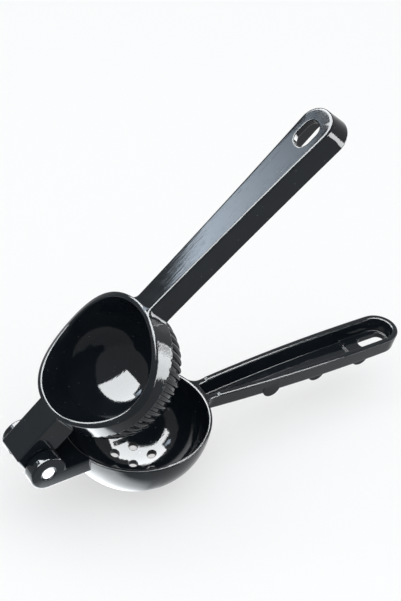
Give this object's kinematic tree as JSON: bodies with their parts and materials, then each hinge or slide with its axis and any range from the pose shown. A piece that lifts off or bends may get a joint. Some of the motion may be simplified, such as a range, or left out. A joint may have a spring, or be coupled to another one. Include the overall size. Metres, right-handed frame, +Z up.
{
  "type": "lever citrus squeezer",
  "caption": "Hinged two-lever citrus squeezer: a domed, ribbed press cup on a channel handle folds into a round strainer bowl with drain holes on a trough handle.",
  "frame": {"origin": "lowest point of the strainer bowl, on the axis that the bowl and the closed press cup share", "axes": "+X along the strainer handle away from the hinge, +Y across the levers along the hinge pin, +Z up, square to the bowl's rim"},
  "size_m": [0.2202, 0.0736, 0.1831],
  "materials": {
    "black_enamel": "gloss",
    "pin_steel": "polished"
  },
  "bodies": {
    "strainer": {"strainer_lever": "black_enamel", "hinge_pin": "pin_steel"},
    "press": {"press_lever": "black_enamel"}
  },
  "joints": [
    {"name": "lever_hinge", "type": "hinge", "parent": "strainer", "child": "press", "pos_m": [-0.0547, 0, 0.0365], "axis": [0, -1, 0], "range_deg": [-42.4, 107.6]}
  ]
}
